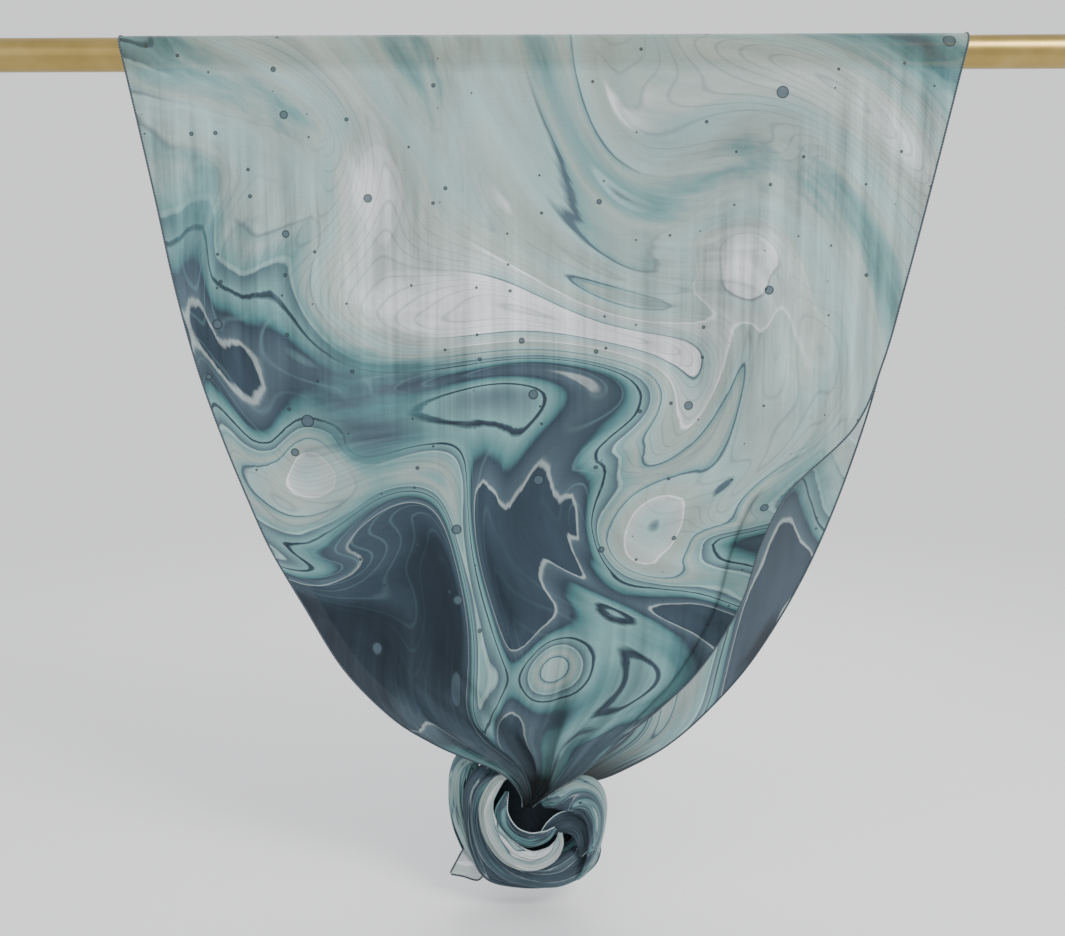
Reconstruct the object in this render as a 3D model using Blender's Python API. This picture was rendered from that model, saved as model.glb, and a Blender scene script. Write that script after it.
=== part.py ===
"""A modal scarf folded over a round rail bar, both halves gathered below into one rosette knot.

The model is in metres, with +Z up, +X to the right and the front facing -Y. The origin is on the
bar's axis, at the middle of the cloth. Sizes in the tables below are in millimetres.
"""

import math
from collections import namedtuple

import bmesh
import bpy
import numpy as np

MM = 0.001

WALL = 1.2  # thickness of every stretch of cloth
SEAM = 0.3  # gap between two stretches, and between the cloth and the bar
GATHER_SEAM = 0.5  # the same across the folds at a gather line, where the rims are warped

ROD_RADIUS = 13.5
ROD_LENGTH = 940.0
ROD_CHAMFER = 1.0
ROD_SIDES = 48

OVER_ROD_RADIUS = ROD_RADIUS + SEAM + WALL  # outer face of the cloth on the bar
OVER_ROD_STEPS = 16
OVER_ROD_BULGE = 3.5  # the cloth is this much wider on each side at the top of the bar

KNOT_CENTRE = (-15.0, 0.0, -665.0)

CLOTH_COLOUR = (0.42, 0.55, 0.56, 1.0)
DEEP_COLOUR = (0.10, 0.17, 0.22, 1.0)
PALE_COLOUR = (0.66, 0.71, 0.72, 1.0)
BRASS_COLOUR = (0.72, 0.56, 0.27, 1.0)

# A level line across a hanging half, from its left edge to its right edge. sag is how far its middle
# hangs below its ends, depth is how far its outer face stands out from the bar's axis, curl is how
# far its two edges turn in, and fold is how deep the folds are there.
Level = namedtuple("Level", "left_x left_z right_x right_z sag depth curl fold")
FRONT_LEVELS = [
    Level(-345, 0, 345, 0, 0, 15.0, 0.0, 0.0),
    Level(-324, -111, 321, -111, 0, 14.8, 0.6, 1.0),
    Level(-310, -190, 304, -186, 2, 14.6, 1.0, 1.0),
    Level(-294, -258, 287, -254, 4, 14.6, 1.4, 1.0),
    Level(-276, -315, 264, -311, 6, 14.6, 1.6, 1.3),
    Level(-256, -369, 212, -364, 8, 14.8, 1.8, 1.8),
    Level(-237, -415, 188, -410, 10, 15.2, 2.0, 2.3),
    Level(-209, -466, 170, -466, 10, 15.8, 2.0, 3.2),
    Level(-176, -522, 136, -522, 8, 17.0, 2.0, 4.4),
    Level(-135, -565, 98, -560, 4, 19.0, 2.0, 5.4),
    Level(-100, -587, 66, -585, 0, 21.5, 1.5, 5.4),
    Level(-72, -599, 46, -602, -3, 25.0, 1.5, 4.4),
    Level(-48, -607, 29, -615, -3, 29.0, 2.0, 2.6),
    Level(-31, -617, 15, -622, -1, 33.0, 2.5, 1.3),
    Level(-22, -630, 4, -629, 0, 35.0, 3.0, 0.5),
    Level(-21, -640, -7, -640, 0, 30.0, 2.0, 0.2),
    Level(-21, -649, -11, -649, 0, 15.0, 1.0, 0.0),
]
BACK_LEVELS = [
    Level(-345, 0, 345, 0, 0, 15.0, 0.0, 0.0),
    Level(-322, -120, 319, -120, 0, 14.8, 0.6, 1.0),
    Level(-301, -220, 300, -222, 2, 14.6, 1.2, 1.2),
    Level(-278, -300, 284, -296, 5, 14.6, 1.6, 1.6),
    Level(-246, -380, 256, -384, 8, 14.8, 1.8, 2.4),
    Level(-208, -452, 226, -455, 10, 15.4, 2.0, 3.4),
    Level(-168, -520, 187, -523, 8, 16.6, 2.0, 4.6),
    Level(-124, -566, 148, -571, 4, 18.6, 1.5, 5.4),
    Level(-86, -589, 112, -604, 0, 19.0, 1.0, 4.6),
    Level(-58, -602, 76, -625, -2, 18.5, 1.0, 3.2),
    Level(-38, -612, 48, -636, -3, 17.0, 1.0, 2.0),
    Level(-26, -624, 24, -636, -1, 15.5, 1.0, 1.0),
    Level(-20, -638, 4, -642, 0, 14.5, 1.0, 0.4),
    Level(-18, -648, -3, -650, 0, 14.0, 0.5, 0.0),
]

# A ridge (height above 0) or a valley between folds, at its share of the way across.
Fold = namedtuple("Fold", "across height")
FRONT_FOLDS = [
    Fold(0.00, -0.2),
    Fold(0.06, 0.7),
    Fold(0.13, -0.5),
    Fold(0.20, 0.9),
    Fold(0.28, -0.6),
    Fold(0.36, 1.0),
    Fold(0.45, -1.0),
    Fold(0.52, -0.1),
    Fold(0.60, -1.0),
    Fold(0.69, 1.0),
    Fold(0.77, -0.4),
    Fold(0.84, 0.7),
    Fold(0.91, -0.5),
    Fold(0.96, 0.3),
    Fold(1.00, -0.2),
]
BACK_FOLDS = [
    Fold(0.00, -0.2),
    Fold(0.08, 0.8),
    Fold(0.17, -0.7),
    Fold(0.27, 0.9),
    Fold(0.37, -0.9),
    Fold(0.47, 0.6),
    Fold(0.56, -0.8),
    Fold(0.66, 1.0),
    Fold(0.76, -0.6),
    Fold(0.86, 0.8),
    Fold(0.94, -0.4),
    Fold(1.00, 0.1),
]

PANEL_STEPS = 2  # rows of a hanging half to each row of its level table
COLUMN_STEPS = 3  # columns to each row of its fold table
CURL_POWER = 6  # the higher, the closer to the side edges the curl stays

# The hanging half ends at this row of its level table, and the gathered strands run on below it.
FRONT_GATHER = 10
BACK_GATHER = 8
Strand = namedtuple("Strand", "name first last")  # between these fold rows
FRONT_STRANDS = [
    Strand("neck_front_outer_left", 0, 4),
    Strand("neck_front_left", 4, 6),
    Strand("neck_front_tongue", 6, 8),
    Strand("neck_front_right", 8, 14),
]
BACK_STRANDS = [
    Strand("neck_back_left", 0, 4),
    Strand("neck_back_middle", 4, 8),
    Strand("neck_back_right", 8, 11),
]

# The front's lower right edge is turned under: the strip runs between these rows of the level table,
# and from this row of the fold table to the edge.
TURNED_FIRST, TURNED_LAST = 5, 9
TURNED_FROM = 13

# A station along a turn of the knot, from the knot's centre: the middle of the turn, half its width,
# how far its outer and inner edges stand out from the knot's middle plane, and how far it rises
# between them.
Station = namedtuple("Station", "x z half edge_out edge_in rise")
# side is -1 on the front and 1 on the back. way is 1 where the turn runs anticlockwise as seen from
# the front, and -1 where it runs clockwise. pleats is how many long ridges run along it, and cloth
# says which side of the print's colours it shows.
Turn = namedtuple("Turn", "name side way pleats cloth stations")
KNOT_TURNS = [
    Turn("turn_outer_left", -1, 1, 1, "deep", [
        Station(-43, 68, 4, 8, 11, 2),
        Station(-56, 58, 8, 2, 9, 6),
        Station(-62, 43, 9, 0.4, 8, 9),
        Station(-63, 23, 9, 0.4, 8, 9),
        Station(-60, 1, 9, 0.4, 8, 9),
        Station(-52, -23, 8, 0.4, 8, 8),
        Station(-47, -37, 6, 0.4, 6, 4),
        Station(-44, -46, 2.5, 1, 3, 1.5),
    ]),
    Turn("turn_outer_low", -1, 1, 2, "deep", [
        Station(-29, 60, 3, 14, 14, 2),
        Station(-40, 51, 6, 16, 17, 4),
        Station(-49, 35, 7.5, 17, 18, 8),
        Station(-50.5, 13, 7.5, 17, 18, 8),
        Station(-48, -9, 8, 16, 18, 8),
        Station(-42, -28, 9, 13, 18, 9),
        Station(-31, -45, 12, 7, 17, 10),
        Station(-7, -53, 12, 0.4, 16, 12),
        Station(17, -54, 11, 0.4, 14, 9),
        Station(32, -49, 8, 2, 11, 6),
        Station(43, -42, 4, 4, 8, 3),
    ]),
    Turn("turn_middle", -1, 1, 3, "deep", [
        Station(-27, 50, 3, 20, 20, 1),
        Station(-39, 39, 6, 25, 25, 4),
        Station(-44, 20, 6.5, 27.7, 27, 5),
        Station(-42, -1, 7.5, 27.7, 27, 5),
        Station(-33, -21, 9, 27.5, 27, 6),
        Station(-16, -36, 11, 25, 27, 7),
        Station(5, -41, 13, 22.5, 27, 7),
        Station(28, -40, 15, 19, 25, 6),
        Station(49, -31, 15, 9, 18, 5),
        Station(56, -16, 9, 6, 13, 4),
        Station(57, -5, 4, 6, 9, 2),
    ]),
    Turn("turn_crescent", -1, 1, 1, "pale", [
        Station(-15, 52, 1.5, 23, 23, 1),
        Station(-27, 46, 5, 27, 27, 2),
        Station(-36, 31, 6, 32.6, 32, 6),
        Station(-36, 15, 7, 33.4, 33, 6),
        Station(-29, -2, 9, 33.6, 33, 7),
        Station(-16, -17, 10, 34.5, 33, 7),
        Station(2, -24, 8.5, 35, 33, 6),
        Station(18, -19, 7, 34.5, 33, 5),
        Station(26, -9, 4.5, 34, 33, 3),
        Station(28, 2, 1.5, 33, 33, 1),
    ]),
    Turn("turn_lip", -1, 1, 1, "deep", [
        Station(-19, 34, 1.5, 20, 19, 1),
        Station(-24, 17, 6.5, 28, 28, 2.5),
        Station(-16, 1, 8, 28.3, 31, 2.5),
        Station(-1, -6, 8, 28.5, 32, 3),
        Station(14, -3, 6, 29, 32, 2.5),
        Station(24, 5, 1.5, 30, 31, 1),
    ]),
    Turn("turn_right", -1, -1, 3, "deep", [
        Station(11, 19, 5, 12, 13, 1),
        Station(20, 27, 9, 20, 25, 4),
        Station(30, 32, 11, 22, 33, 6),
        Station(41, 34, 13, 16, 36, 8),
        Station(53, 28, 13, 6, 34, 9),
        Station(60, 14, 11, 0.4, 32, 10),
        Station(61, -3, 9, 0.4, 30, 10),
        Station(59, -17, 7.5, 6, 29, 8),
        Station(55, -30, 5.5, 18, 27, 5),
        Station(49, -41, 3, 21, 24, 2),
        Station(43, -48, 1, 22, 22, 0.5),
    ]),
    Turn("turn_right_fold", -1, -1, 2, "deep", [
        Station(11, -3, 1.5, 26.5, 27, 1),
        Station(22, 4, 8, 27, 27, 2),
        Station(35, 9, 11, 27, 27, 3),
        Station(46, 2, 10, 26.5, 27, 3),
        Station(49, -12, 7, 25, 26.5, 3),
        Station(46, -25, 1.5, 23, 24, 1),
    ]),
    Turn("turn_back_outer", 1, 1, 2, "deep", [
        Station(-40, 62, 4, 6, 10, 3),
        Station(-52, 52, 9, 2, 12, 7),
        Station(-59, 34, 12, 0.9, 13, 10),
        Station(-58, 12, 14, 0.8, 14, 11),
        Station(-53, -14, 14, 4, 14, 11),
        Station(-41, -38, 14, 7, 15, 10),
        Station(-17, -50, 14, 4, 15, 11),
        Station(10, -51, 13, 0.4, 15, 11),
        Station(34, -42, 13, 0.4, 14, 11),
        Station(51, -23, 13, 0.4, 14, 10),
        Station(56, 2, 13, 0.4, 13, 9),
        Station(51, 24, 11, 1, 12, 7),
        Station(42, 40, 4, 4, 9, 3),
    ]),
    Turn("turn_back_inner", 1, 1, 2, "deep", [
        Station(36, 26, 3, 18, 18, 2),
        Station(22, 36, 8, 20, 20, 5),
        Station(2, 42, 10, 20.6, 20, 6),
        Station(-20, 36, 11, 20, 21, 7),
        Station(-35, 18, 12, 20, 21, 8),
        Station(-34, -4, 13, 21, 21, 8),
        Station(-20, -22, 14, 22, 21, 8),
        Station(2, -28, 14, 22, 21, 8),
        Station(23, -20, 13, 21, 20, 8),
        Station(33, -3, 10, 20, 18, 6),
        Station(29, 12, 5, 17, 16, 2),
    ]),
    Turn("turn_back_middle", 1, 1, 1, "deep", [
        Station(-14, 18, 2, 15, 14, 1),
        Station(-16, 4, 7, 16.9, 15, 3),
        Station(-6, -9, 8, 17, 15, 3),
        Station(10, -8, 8, 16.9, 15, 3),
        Station(17, 4, 6, 16, 15, 2.5),
        Station(14, 15, 2, 15, 15, 1),
    ]),
]
TURN_STEPS = 2  # steps from one station to the next
TURN_POINTS = 6  # points across a turn, and three more for each pleat
PLEAT_DEPTH = 0.7

CORE_RADII = (50.0, 10.5, 43.0)
CORE_OFFSET = (-2.0, 2.3, 3.0)
CORE_RINGS = 12
CORE_SEGMENTS = 20

# The free corner of the cloth: rows from its tip to its root inside the knot.
Corner = namedtuple("Corner", "upper_x upper_z lower_x lower_z depth")
CORNER_ROWS = [
    Corner(-71.5, -51.0, -71.0, -51.8, 3.5),
    Corner(-66.0, -41.0, -60.0, -55.0, 1.5),
    Corner(-59.0, -29.0, -47.0, -60.0, -0.4),
    Corner(-50.0, -20.0, -40.0, -54.0, -1.3),
]
CORNER_COLUMNS = 4


def smooth_rows(rows, places):
    """The table read at places counted in rows, on a Catmull-Rom curve through its rows."""
    table = np.array(rows, dtype=float)
    padded = np.vstack([2 * table[0] - table[1], table, 2 * table[-1] - table[-2]])
    made = []
    for place in places:
        index = min(int(place), len(table) - 2)
        u = place - index
        before, start, end, after = padded[index : index + 4]
        slope = (end - before) * u
        bend = (2 * before - 5 * start + 4 * end - after) * u**2
        twist = (3 * start - before - 3 * end + after) * u**3
        made.append(start + (slope + bend + twist) / 2)
    return np.array(made)


def fold_columns(folds, steps):
    """How far across each column of a half stands, with steps columns to each row of its fold table."""
    across = [fold.across for fold in folds]
    return np.interp(np.arange((len(folds) - 1) * steps + 1) / steps, range(len(folds)), across)


def fold_height(folds, across):
    """The height of the folds, which swings in a cosine from each row of the table to the next."""
    places = [fold.across for fold in folds]
    heights = [fold.height for fold in folds]
    position = np.interp(across, places, range(len(folds)))
    before = np.minimum(position.astype(int), len(folds) - 2)
    swing = (1 - np.cos(np.pi * (position - before))) / 2
    start, end = np.take(heights, before), np.take(heights, before + 1)
    return start + (end - start) * swing


def half_grid(levels, folds, side, places):
    """The outer face of a hanging half as rows of points, from the bar down and from left to right."""
    across = fold_columns(folds, COLUMN_STEPS)
    folded = fold_height(folds, across)
    grid = []
    for row in smooth_rows(levels, places):
        level = Level(*row)
        x = level.left_x + (level.right_x - level.left_x) * across
        z = level.left_z + (level.right_z - level.left_z) * across
        z = z - level.sag * 4 * across * (1 - across)
        turned_in = level.curl * np.abs(2 * across - 1) ** CURL_POWER
        out = level.depth + level.fold * folded - turned_in
        grid.append(np.stack([x, side * out, z], axis=1))
    return np.array(grid)


def turn_grid(turn):
    """The outer face of one turn of the knot as rows of points, each from its outer to its inner edge."""
    last = len(turn.stations) - 1
    rows = smooth_rows(turn.stations, np.linspace(0, last, last * TURN_STEPS + 1))
    heading = np.gradient(rows[:, :2], axis=0)
    heading /= np.linalg.norm(heading, axis=1)[:, None]
    outward = turn.way * np.stack([heading[:, 1], -heading[:, 0]], axis=1)
    angles = np.linspace(0, math.pi, TURN_POINTS + 3 * turn.pleats)
    share = (1 - np.cos(angles)) / 2
    ends = np.sin(np.linspace(0, math.pi, len(rows)))
    grid = []
    for row, aside, fullness in zip(rows, outward, ends):
        station = Station(*row)
        x = station.x + station.half * np.cos(angles) * aside[0]
        z = station.z + station.half * np.cos(angles) * aside[1]
        out = station.edge_out + (station.edge_in - station.edge_out) * share
        # Half a wave more than the pleats, so that one edge ends in a ridge and the other in a valley.
        pleated = np.sin(angles) * np.cos(2 * math.pi * (turn.pleats + 0.5) * share)
        out = out + station.rise * np.sin(angles) - PLEAT_DEPTH * fullness * pleated
        grid.append(np.stack([x, turn.side * out, z], axis=1))
    return np.array(grid)


def grid_normals(grid):
    """Unit normals of a grid of points, from its neighbours along both ways."""
    down, along = np.gradient(grid, axis=(0, 1))
    normal = np.cross(along, down)
    return normal / np.linalg.norm(normal, axis=2)[:, :, None]


def facing(grid, direction):
    """The grid's normals, turned so that on the whole they point in the direction given."""
    normal = grid_normals(grid)
    return normal * np.sign((normal * np.array(direction)).sum())


def drawn_back(edge, beside, seam):
    """The edge moved towards the points beside it, until it is half a seam back, square to itself."""
    step = beside - edge
    along = np.gradient(edge, axis=0)
    along /= np.linalg.norm(along, axis=1)[:, None]
    square = step - (step * along).sum(axis=1)[:, None] * along
    return edge + step * (seam / 2 / np.linalg.norm(square, axis=1))[:, None]


def pull_in(grid, top=False, bottom=False, left=False, right=False):
    """The grid with the named edges drawn back from their seams."""
    pulled = grid.copy()
    if top:
        pulled[0] = drawn_back(pulled[0], pulled[1], GATHER_SEAM)
    if bottom:
        pulled[-1] = drawn_back(pulled[-1], pulled[-2], GATHER_SEAM)
    if left:
        pulled[:, 0] = drawn_back(pulled[:, 0], pulled[:, 1], SEAM)
    if right:
        pulled[:, -1] = drawn_back(pulled[:, -1], pulled[:, -2], SEAM)
    return pulled


def cloth_material(name, colour, roughness=0.75):
    material = bpy.data.materials.new(name)
    material.use_nodes = True
    shader = material.node_tree.nodes["Principled BSDF"]
    shader.inputs["Base Color"].default_value = colour
    shader.inputs["Roughness"].default_value = roughness
    shader.inputs["Metallic"].default_value = 0.0
    return material


def brass_material(name):
    material = cloth_material(name, BRASS_COLOUR, roughness=0.32)
    material.node_tree.nodes["Principled BSDF"].inputs["Metallic"].default_value = 1.0
    return material


def add_object(name, work_mesh, material, parent):
    """Closes up a bmesh into a named object, with its faces pointing out."""
    bmesh.ops.recalc_face_normals(work_mesh, faces=work_mesh.faces)
    mesh = bpy.data.meshes.new(name)
    work_mesh.to_mesh(mesh)
    work_mesh.free()
    mesh.shade_smooth()
    mesh.set_sharp_from_angle(angle=math.radians(50))
    mesh.materials.append(material)
    made = bpy.data.objects.new(name, mesh)
    bpy.context.scene.collection.objects.link(made)
    made.parent = parent
    return made


def add_wall(name, outer, inner, material, parent):
    """A closed wall between two grids of the same size: two faces, joined by a rim all round."""
    work_mesh = bmesh.new()
    rows, columns = outer.shape[:2]
    faces = [
        [[work_mesh.verts.new(point * MM) for point in row] for row in grid]
        for grid in (outer, inner)
    ]
    for corners in faces:
        for i in range(rows - 1):
            for j in range(columns - 1):
                work_mesh.faces.new(
                    [corners[i][j], corners[i][j + 1], corners[i + 1][j + 1], corners[i + 1][j]]
                )
    rim = [(0, j) for j in range(columns - 1)]
    rim += [(i, columns - 1) for i in range(rows - 1)]
    rim += [(rows - 1, j) for j in range(columns - 1, 0, -1)]
    rim += [(i, 0) for i in range(rows - 1, 0, -1)]
    front, back = faces
    for (i, j), (k, m) in zip(rim, rim[1:] + rim[:1]):
        work_mesh.faces.new([front[i][j], back[i][j], back[k][m], front[k][m]])
    return add_object(name, work_mesh, material, parent)


def add_rod(material, parent):
    """The rail's bar, with its two flat ends facing along X."""
    work_mesh = bmesh.new()
    bmesh.ops.create_cone(
        work_mesh,
        cap_ends=True,
        segments=ROD_SIDES,
        radius1=ROD_RADIUS * MM,
        radius2=ROD_RADIUS * MM,
        depth=ROD_LENGTH * MM,
    )
    end_edges = [
        edge for edge in work_mesh.edges if abs(edge.verts[0].co.z - edge.verts[1].co.z) < MM
    ]
    bmesh.ops.bevel(
        work_mesh, geom=end_edges, offset=ROD_CHAMFER * MM, segments=1, affect="EDGES"
    )
    rod = add_object("rod", work_mesh, material, parent)
    rod.rotation_euler = (0.0, math.pi / 2, 0.0)
    return rod


def add_over_rod(material, parent):
    """The cloth where it turns over the bar, from the front half's top edge to the back half's."""
    grids = []
    for radius in (OVER_ROD_RADIUS, OVER_ROD_RADIUS - WALL):
        rows = []
        for angle in np.linspace(0, math.pi, OVER_ROD_STEPS + 1):
            width = FRONT_LEVELS[0].right_x + OVER_ROD_BULGE * math.sin(angle)
            y, z = -radius * math.cos(angle), radius * math.sin(angle)
            rows.append([(x, y, z) for x in (-width, 0.0, width)])
        grids.append(np.array(rows))
    return add_wall("over_rod", grids[0], grids[1], material, parent)


def add_half(name, levels, folds, side, gather, strands, cloth, neck_cloth, parent):
    """A hanging half down to its gather line, and its gathered strands down into the knot."""
    places = np.append(np.arange(0, gather, 1 / PANEL_STEPS), np.arange(gather, len(levels)))
    outer = half_grid(levels, folds, side, places)
    inward = facing(outer, (0, -side, 0))
    cut = gather * PANEL_STEPS
    panel = pull_in(outer[: cut + 1], bottom=True)
    panel[0, :, 2] -= SEAM
    add_wall(name, panel, panel + inward[: cut + 1] * WALL, cloth, parent)
    for strand in strands:
        first, last = strand.first * COLUMN_STEPS, strand.last * COLUMN_STEPS
        piece = pull_in(
            outer[cut:, first : last + 1],
            top=True,
            left=strand.first > 0,
            right=strand.last < len(folds) - 1,
        )
        away = inward[cut:, first : last + 1]
        add_wall(strand.name, piece, piece + away * WALL, neck_cloth, parent)


def add_turned_edge(cloth, parent):
    """The strip turned under along the front's lower right edge, laid behind the front's own points."""
    places = np.linspace(TURNED_FIRST, TURNED_LAST, (TURNED_LAST - TURNED_FIRST) * PANEL_STEPS + 1)
    front = half_grid(FRONT_LEVELS, FRONT_FOLDS, -1, places)
    strip = np.s_[:, TURNED_FROM * COLUMN_STEPS :]
    inward = facing(front, (0, 1, 0))[strip]
    face = front[strip] + inward * (WALL + SEAM)
    add_wall("front_edge_turned_under", face, face + inward * WALL, cloth, parent)


def add_core(cloth, parent):
    """The gathered layers hidden in the middle of the knot, as one rounded solid."""
    work_mesh = bmesh.new()
    bmesh.ops.create_uvsphere(
        work_mesh, u_segments=CORE_SEGMENTS, v_segments=CORE_RINGS, radius=1.0
    )
    for vertex in work_mesh.verts:
        vertex.co = [
            (value * radius + offset) * MM
            for value, radius, offset in zip(vertex.co, CORE_RADII, CORE_OFFSET)
        ]
    add_object("knot_core", work_mesh, cloth, parent)


def add_corner(cloth, parent):
    """The free corner of the cloth that sticks out at the knot's lower left."""
    rows = []
    for corner in CORNER_ROWS:
        share = np.linspace(0, 1, CORNER_COLUMNS + 1)
        x = corner.upper_x + (corner.lower_x - corner.upper_x) * share
        z = corner.upper_z + (corner.lower_z - corner.upper_z) * share
        rows.append(np.stack([x, np.full_like(x, -corner.depth), z], axis=1))
    outer = np.array(rows)
    add_wall("corner_tail", outer, outer + facing(outer, (0, 1, 0)) * WALL, cloth, parent)


def clear_scene():
    for old in list(bpy.data.objects):
        bpy.data.objects.remove(old, do_unlink=True)


def main():
    clear_scene()
    whole = bpy.data.objects.new("scarf_on_rod", None)
    bpy.context.scene.collection.objects.link(whole)
    knot = bpy.data.objects.new("knot", None)
    bpy.context.scene.collection.objects.link(knot)
    knot.parent = whole
    knot.location = [value * MM for value in KNOT_CENTRE]

    cloth = cloth_material("cloth", CLOTH_COLOUR)
    deep = cloth_material("cloth_deep", DEEP_COLOUR)
    turn_cloths = {"deep": deep, "pale": cloth_material("cloth_pale", PALE_COLOUR)}
    brass = brass_material("brass")

    add_rod(brass, whole)
    add_over_rod(cloth, whole)
    add_half(
        "front_half", FRONT_LEVELS, FRONT_FOLDS, -1, FRONT_GATHER, FRONT_STRANDS, cloth, deep, whole
    )
    add_turned_edge(cloth, whole)
    add_half(
        "back_half", BACK_LEVELS, BACK_FOLDS, 1, BACK_GATHER, BACK_STRANDS, cloth, deep, whole
    )
    for turn in KNOT_TURNS:
        outer = turn_grid(turn)
        inner = outer + facing(outer, (0, -turn.side, 0)) * WALL
        add_wall(turn.name, outer, inner, turn_cloths[turn.cloth], knot)
    add_core(deep, knot)
    add_corner(cloth, knot)


if __name__ == "__main__":
    main()
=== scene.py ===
"""Looks of a thin modal scarf, folded over a brass rail bar and gathered into one rosette knot.

Sizes in the tables are in millimetres. The cloth's own coordinates, which the print follows, are in
metres: across the scarf, and along it from one end to the other.
"""

import math
from collections import namedtuple

import bpy
import numpy as np
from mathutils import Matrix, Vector


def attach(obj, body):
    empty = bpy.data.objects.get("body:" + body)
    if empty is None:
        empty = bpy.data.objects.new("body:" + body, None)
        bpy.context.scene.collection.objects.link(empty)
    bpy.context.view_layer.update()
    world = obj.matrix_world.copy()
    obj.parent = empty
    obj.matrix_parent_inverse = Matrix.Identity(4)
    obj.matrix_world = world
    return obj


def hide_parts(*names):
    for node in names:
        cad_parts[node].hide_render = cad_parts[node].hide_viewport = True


MM = 0.001
TAU = 2 * math.pi

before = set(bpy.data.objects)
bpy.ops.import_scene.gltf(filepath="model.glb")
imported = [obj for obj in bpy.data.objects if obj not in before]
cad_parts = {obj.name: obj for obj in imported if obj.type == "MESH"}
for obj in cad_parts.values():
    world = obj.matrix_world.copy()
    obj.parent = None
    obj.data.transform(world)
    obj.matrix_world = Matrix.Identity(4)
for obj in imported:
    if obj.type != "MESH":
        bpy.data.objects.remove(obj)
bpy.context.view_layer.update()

# ---- Sizes

ROD_RADIUS = 13.5
ROD_LENGTH = 940.0
ROD_EDGE = 1.0
ROD_SIDES = 128
ROD_STEPS, ROD_EDGE_STEPS = 40, 6
CLOTH_ON_ROD = 14.7  # from the bar's axis to the cloth's outer face
ROD_TURN_STEPS = 20
ROD_BULGE = 3.5  # the cloth is this much wider on each side at the top of the bar

# The hanging halves, level by level, as the frame's walls have them: a level's left and right ends, how
# much lower its middle hangs, how far it lies from the bar's axis, how far its two edges turn in, and how
# high its folds are.
Level = namedtuple("Level", "left_x left_z right_x right_z sag depth curl fold")
FRONT_LEVELS = [
    (-345, 0, 345, 0, 0, 15.0, 0.0, 0.0),
    (-324, -111, 321, -111, 0, 14.8, 0.6, 1.0),
    (-310, -190, 304, -186, 2, 14.6, 1.0, 1.0),
    (-294, -258, 287, -254, 4, 14.6, 1.4, 1.0),
    (-276, -315, 264, -311, 6, 14.6, 1.6, 1.3),
    (-256, -369, 212, -364, 8, 14.8, 1.8, 1.8),
    (-237, -415, 188, -410, 10, 15.2, 2.0, 2.3),
    (-209, -466, 170, -466, 10, 15.8, 2.0, 3.2),
    (-176, -522, 136, -522, 8, 17.0, 2.0, 4.4),
    (-135, -565, 98, -560, 4, 19.0, 2.0, 5.4),
    (-100, -587, 66, -585, 0, 21.5, 1.5, 5.4),
    (-72, -599, 46, -602, -3, 25.0, 1.5, 4.4),
    (-48, -607, 29, -615, -3, 29.0, 2.0, 2.6),
    (-31, -617, 15, -622, -1, 33.0, 2.5, 1.3),
    (-22, -630, 4, -629, 0, 35.0, 3.0, 0.5),
    (-21, -640, -7, -640, 0, 30.0, 2.0, 0.2),
    (-21, -649, -11, -649, 0, 15.0, 1.0, 0.0),
]
BACK_LEVELS = [
    (-345, 0, 345, 0, 0, 15.0, 0.0, 0.0),
    (-322, -120, 319, -120, 0, 14.8, 0.6, 1.0),
    (-301, -220, 300, -222, 2, 14.6, 1.2, 1.2),
    (-278, -300, 284, -296, 5, 14.6, 1.6, 1.6),
    (-246, -380, 256, -384, 8, 14.8, 1.8, 2.4),
    (-208, -452, 226, -455, 10, 15.4, 2.0, 3.4),
    (-168, -520, 187, -523, 8, 16.6, 2.0, 4.6),
    (-124, -566, 148, -571, 4, 18.6, 1.5, 5.4),
    (-86, -589, 112, -604, 0, 19.0, 1.0, 4.6),
    (-58, -602, 76, -625, -2, 18.5, 1.0, 3.2),
    (-38, -612, 48, -636, -3, 17.0, 1.0, 2.0),
    (-26, -624, 24, -636, -1, 15.5, 1.0, 1.0),
    (-20, -638, 4, -642, 0, 14.5, 1.0, 0.4),
    (-18, -648, -3, -650, 0, 14.0, 0.5, 0.0),
]

# Where a fold's ridge or valley lies, from 0 to 1 across a half, and how high it is next to the others.
FRONT_FOLDS = [
    (0.00, -0.2), (0.06, 0.7), (0.13, -0.5), (0.20, 0.9), (0.28, -0.6), (0.36, 1.0), (0.45, -1.0),
    (0.52, -0.1), (0.60, -1.0), (0.69, 1.0), (0.77, -0.4), (0.84, 0.7), (0.91, -0.5), (0.96, 0.3),
    (1.00, -0.2),
]
BACK_FOLDS = [
    (0.00, -0.2), (0.08, 0.8), (0.17, -0.7), (0.27, 0.9), (0.37, -0.9), (0.47, 0.6), (0.56, -0.8),
    (0.66, 1.0), (0.76, -0.6), (0.86, 0.8), (0.94, -0.4), (1.00, 0.1),
]
CURL_POWER = 6
HALF_COLUMNS = 168
GATHER_WIDTHS = (60, 420)  # a level this narrow is wholly gathered, and one this wide not at all
BY_ROD = 60  # waves and creases fade in over this much below the bar's axis
SHEET_INSET = 0.55  # how far the sheet lies inside the wall's outer face, before waves and creases
ROD_INSET = 0.3  # and how far by the bar
FINE_SHARE, BROAD_SHARE, CREASE_SHARE = 0.45, 0.4, 0.8  # how much of each table's depths is used
RIPPLE_DROP = 700  # the waves' counts down the cloth are over this many mm
WALL_ROOM = 1.2  # creases go this deep into the wall at most
NECK_ROOM = 3.6  # and this much deeper by the knot
NECK_ROOM_DOWN = (480, 600)  # which comes in between these drops
TURN_ROOM = 2.6  # valleys go this deep into a turn of the knot
VALLEY_PAINTED_SHADE = 0.13  # painted shade: how much darker a deep valley's colour gets with each mm
VALLEY_PAINTED_SHADE_DEPTH = 3  # over this many mm at most

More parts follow.
